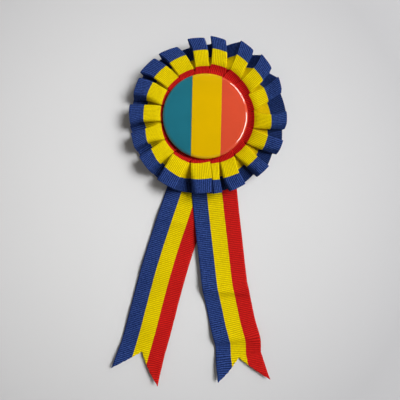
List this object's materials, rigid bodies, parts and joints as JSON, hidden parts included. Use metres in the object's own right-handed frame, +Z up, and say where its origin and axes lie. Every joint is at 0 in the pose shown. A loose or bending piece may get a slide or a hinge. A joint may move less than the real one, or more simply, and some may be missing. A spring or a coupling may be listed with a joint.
{
  "type": "ribbon cockade",
  "caption": "Ribbon cockade lying face up: a ring of box-pleated striped ribbon with a domed button badge on its middle, swallow-tailed ribbon ends below and a brooch pin behind.",
  "frame": {"origin": "on the surface that the cockade lies on, under the middle of the pleated ring", "axes": "+Z up out of the badge's face, +Y from the tails towards the top of the badge, +X to the right as seen from the front"},
  "size_m": [0.1208, 0.2401, 0.0147],
  "materials": {
    "ribbon": "ribbed weave in three stripes of blue, yellow and red",
    "badge_film": "clear film over a print of three stripes of teal, yellow and orange red",
    "tinplate": "bare tinplate",
    "card": "matt white card",
    "plated_steel": "nickel plated"
  },
  "bodies": {
    "root": {"ruffle": "ribbon", "badge_shell": "badge_film", "badge_back": "tinplate", "backing_disc": "card", "tail_left": "ribbon", "tail_right": "ribbon", "brooch_pin": "plated_steel"}
  },
  "joints": []
}
